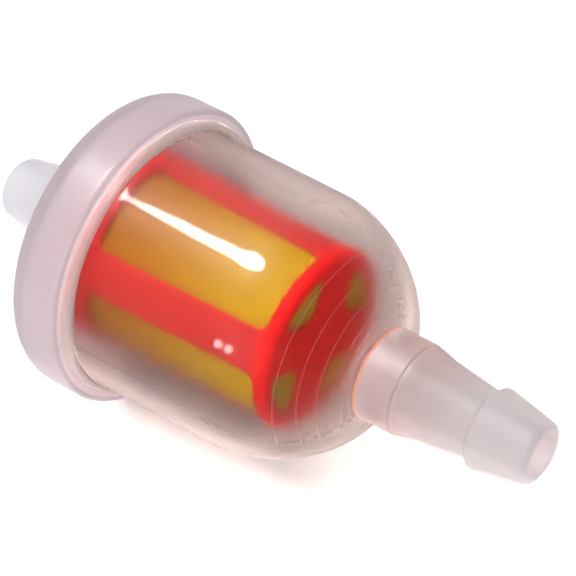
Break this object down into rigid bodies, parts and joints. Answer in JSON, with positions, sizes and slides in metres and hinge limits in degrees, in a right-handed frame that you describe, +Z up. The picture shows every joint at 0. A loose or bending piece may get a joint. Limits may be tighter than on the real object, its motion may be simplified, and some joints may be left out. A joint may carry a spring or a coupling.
{
  "type": "in-line fuel filter",
  "caption": "In-line fuel filter with a milky see-through bowl and cap, a hose barb at each end, and a red cage with yellow mesh screens inside.",
  "frame": {"origin": "centre of the bounding box, on the axis half way between the two hose barb tips", "axes": "+X along the axis in the direction of flow, from the inlet on the cap to the outlet on the bowl; +Z up"},
  "size_m": [0.065, 0.032, 0.032],
  "materials": {
    "milky_cap": "milky translucent, satin, faintly pink",
    "milky_bowl": "hazy translucent, glossy, with fine mould lines",
    "red_plastic": "satin moulded red",
    "yellow_mesh": "fine woven golden yellow mesh"
  },
  "bodies": {
    "root": {"inlet_cap": "milky_cap", "outlet_bowl": "milky_bowl", "screen_cage": "red_plastic", "side_screen_1": "yellow_mesh", "side_screen_2": "yellow_mesh", "side_screen_3": "yellow_mesh", "side_screen_4": "yellow_mesh", "end_screen_1": "yellow_mesh", "end_screen_2": "yellow_mesh", "end_screen_3": "yellow_mesh", "end_screen_4": "yellow_mesh"}
  },
  "joints": []
}
